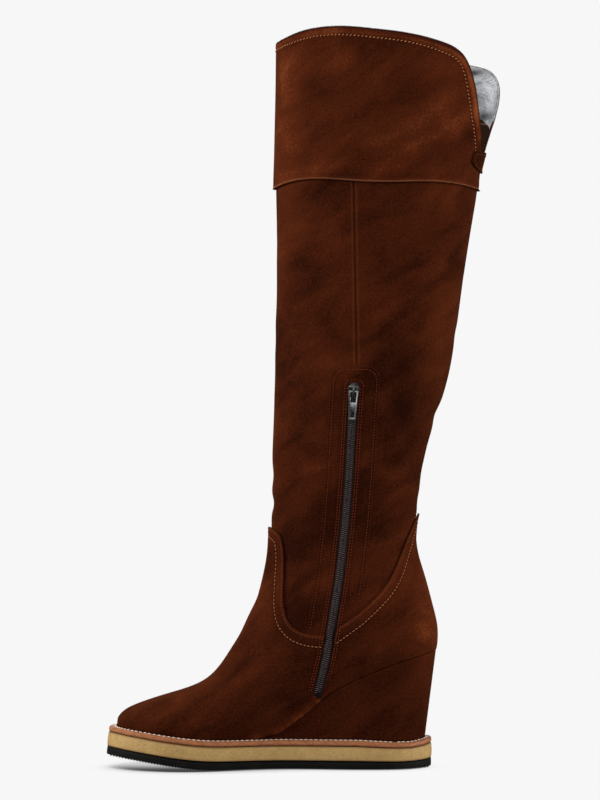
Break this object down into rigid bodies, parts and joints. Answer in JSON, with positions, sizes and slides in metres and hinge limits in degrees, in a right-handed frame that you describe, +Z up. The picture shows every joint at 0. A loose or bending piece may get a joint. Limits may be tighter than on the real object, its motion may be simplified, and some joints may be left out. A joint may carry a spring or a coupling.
{
  "type": "over-the-knee boot",
  "caption": "Right over-the-knee suede boot with a covered wedge heel, flat platform, inner side zip and a wide cuff notched behind the knee.",
  "frame": {"origin": "on the floor, under the middle of the boot's length", "axes": "+Z up, toe towards -Y, inner (zip) side towards +X"},
  "size_m": [0.1086, 0.2937, 0.5486],
  "materials": {
    "suede": "brown suede with a soft nap",
    "rubber": "matt black tread",
    "crepe": "honey crepe",
    "welt": "tan edge leather with pale stitches",
    "insole": "silver lining leather",
    "elastic": "dark brown elastic",
    "tape": "dark brown coil and tape",
    "steel": "satin grey metal"
  },
  "bodies": {
    "boot": {"outsole": "rubber", "midsole": "crepe", "welt": "welt", "insole": "insole", "wedge": "suede", "upper": "suede", "shaft": "suede", "cuff": "suede", "back_gusset": "elastic", "back_tab": "suede", "zip": "tape", "zip_slider": "steel"},
    "pull": {"zip_pull": "steel"}
  },
  "joints": [
    {"name": "pull_hinge", "type": "hinge", "parent": "boot", "child": "pull", "pos_m": [0.04661, 0.03729, 0.28005], "axis": [-0.0417, -0.9971, 0.063], "range_deg": [-3, 150]}
  ]
}
